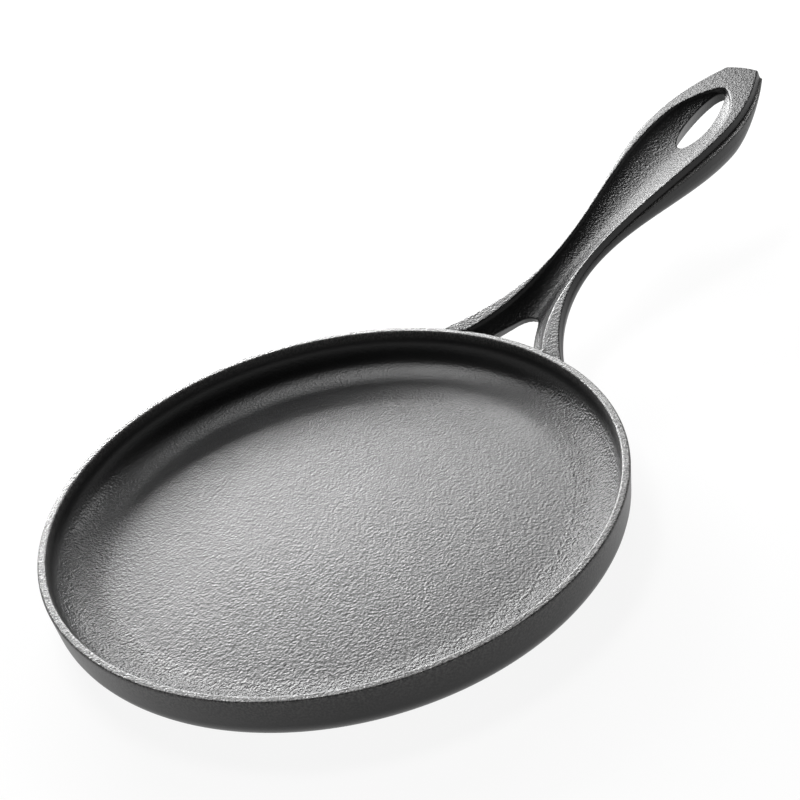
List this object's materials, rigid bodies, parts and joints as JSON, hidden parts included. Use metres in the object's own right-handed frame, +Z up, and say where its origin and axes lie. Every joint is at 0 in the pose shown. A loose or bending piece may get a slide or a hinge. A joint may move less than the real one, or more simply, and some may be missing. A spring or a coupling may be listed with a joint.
{
  "type": "tapioca pan",
  "caption": "Shallow round cast-iron pan with a low upright side, a coved flat floor and a forked, channelled handle ending in a hanging eye.",
  "frame": {"origin": "centre of the flat base, where the pan stands on the hob", "axes": "+Z up, +X out along the handle, the part is the same on both sides of the XZ plane"},
  "size_m": [0.4175, 0.2198, 0.0538],
  "materials": {
    "cast_iron": "sand-cast grain under a thin baked oil seasoning, satin, with a bare-looking bright rim edge"
  },
  "bodies": {
    "root": {"cooking_floor": "cast_iron", "side_wall": "cast_iron", "fork_arm_left": "cast_iron", "fork_arm_right": "cast_iron", "handle_grip": "cast_iron", "hanging_eye": "cast_iron"}
  },
  "joints": []
}
